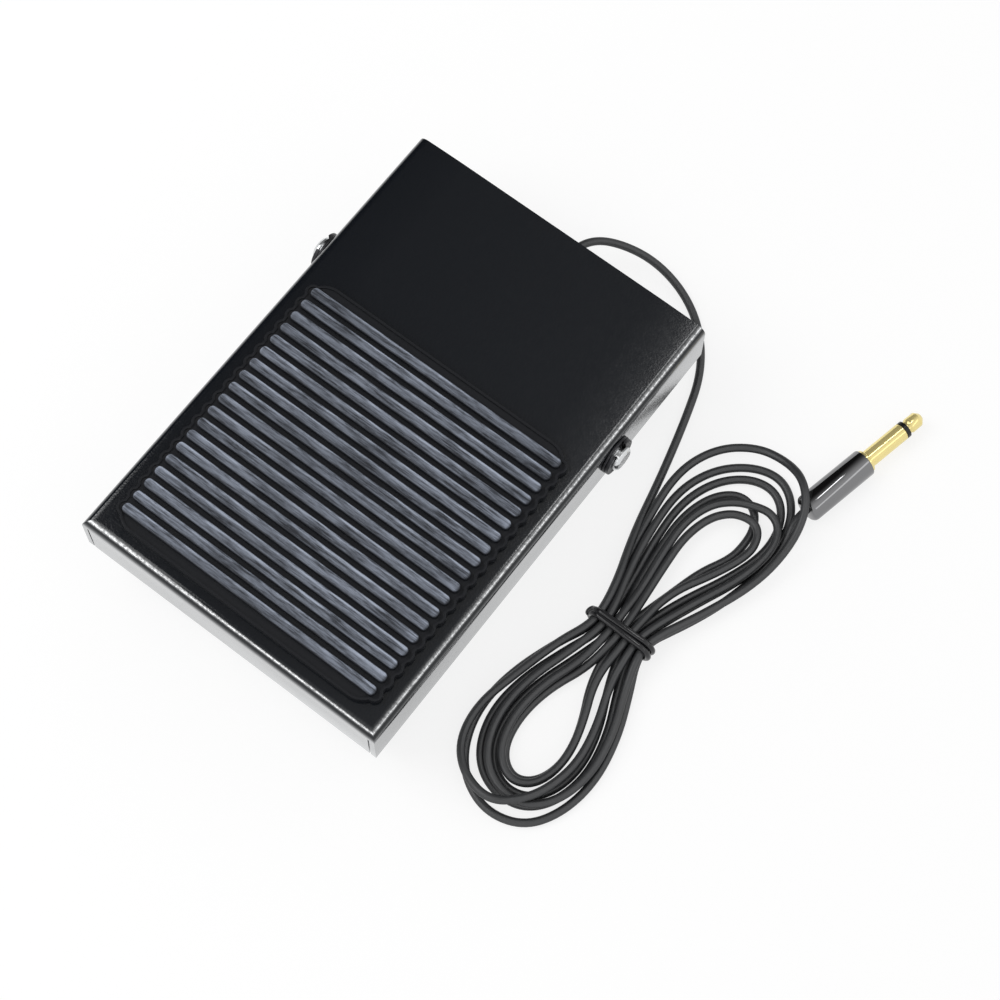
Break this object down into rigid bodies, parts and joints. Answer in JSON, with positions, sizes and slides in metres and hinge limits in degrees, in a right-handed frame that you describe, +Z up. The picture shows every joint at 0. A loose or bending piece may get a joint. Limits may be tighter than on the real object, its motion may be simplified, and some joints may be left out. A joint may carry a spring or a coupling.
{
  "type": "foot pedal switch",
  "caption": "Foot switch: a folded black steel treadle with a ribbed rubber pad, hinged on a shaft over a tray with a snap switch, on a thin tied cord with a gold phone plug.",
  "frame": {"origin": "on the floor, under the middle of the pedal", "axes": "+X to the pedal's right, along the pivot shaft; -Y towards the toe end with the pad, +Y towards the cord end; +Z up"},
  "size_m": [0.1086, 0.1172, 0.026],
  "materials": {
    "black_paint": "satin",
    "pad_rubber": "matt, ribbed",
    "zinc": "bright zinc plated",
    "black_steel": "black oxide",
    "base_steel": "zinc plated sheet",
    "nylon": "natural nylon",
    "foot_rubber": "matt",
    "spring_steel": "bright spring wire",
    "switch_black": "moulded",
    "switch_red": "moulded",
    "terminal_metal": "tinned",
    "bushing_rubber": "moulded",
    "cord_jacket": "soft satin jacket",
    "wire_insulation": "smooth",
    "tie_plastic": "glossy",
    "barrel_black": "polished",
    "gold": "gold plated",
    "ring_black": "smooth"
  },
  "bodies": {
    "base": {"base_tray": "base_steel", "pivot_bushes": "nylon", "rubber_feet": "foot_rubber", "rear_stop_pad": "foot_rubber", "spring_stud": "zinc", "return_spring": "spring_steel", "switch_case": "switch_black", "switch_lid": "switch_black", "switch_terminals": "terminal_metal", "switch_bracket": "zinc", "switch_screws": "zinc", "switch_nuts": "zinc", "bracket_screws": "zinc", "bracket_nuts": "zinc", "cord_clamp": "nylon", "clamp_screw": "zinc", "clamp_nut": "zinc", "cord_bushing": "bushing_rubber", "cord_inner": "cord_jacket", "inner_wires": "wire_insulation", "cord_lead": "cord_jacket", "cord_hank": "cord_jacket", "cord_tail": "cord_jacket", "cord_tie": "tie_plastic", "plug_barrel": "barrel_black", "plug_sleeve": "gold", "plug_insulator": "ring_black", "plug_tip": "gold"},
    "treadle": {"treadle_cover": "black_paint", "rubber_pad": "pad_rubber", "pivot_shaft": "zinc", "shaft_washers": "black_steel", "shaft_clips": "black_steel", "spring_cup": "zinc", "striker_stud": "zinc"},
    "lever": {"switch_lever": "spring_steel"},
    "button": {"switch_button": "switch_red"}
  },
  "joints": [
    {"name": "treadle_press", "type": "hinge", "parent": "base", "child": "treadle", "pos_m": [0, 0.021, 0.0184], "axis": [1, 0, 0], "range_deg": [0, 3.5], "stiffness_Nm_per_rad": 3, "springref_deg": -2.29, "deforming": ["return_spring"]},
    {"name": "lever_swing", "type": "hinge", "parent": "base", "child": "lever", "pos_m": [0, -0.0044, 0.0173], "axis": [1, 0, 0], "range_deg": [0, 10.5]},
    {"name": "button_travel", "type": "slide", "parent": "base", "child": "button", "axis": [0, 0, -1], "range_m": [0, 0.0006]}
  ],
  "couplings": [
    {"joint": "lever_swing", "follows": "treadle_press", "ratio": 2.87},
    {"joint": "button_travel", "follows": "treadle_press", "m_per_rad": 0.0093}
  ]
}
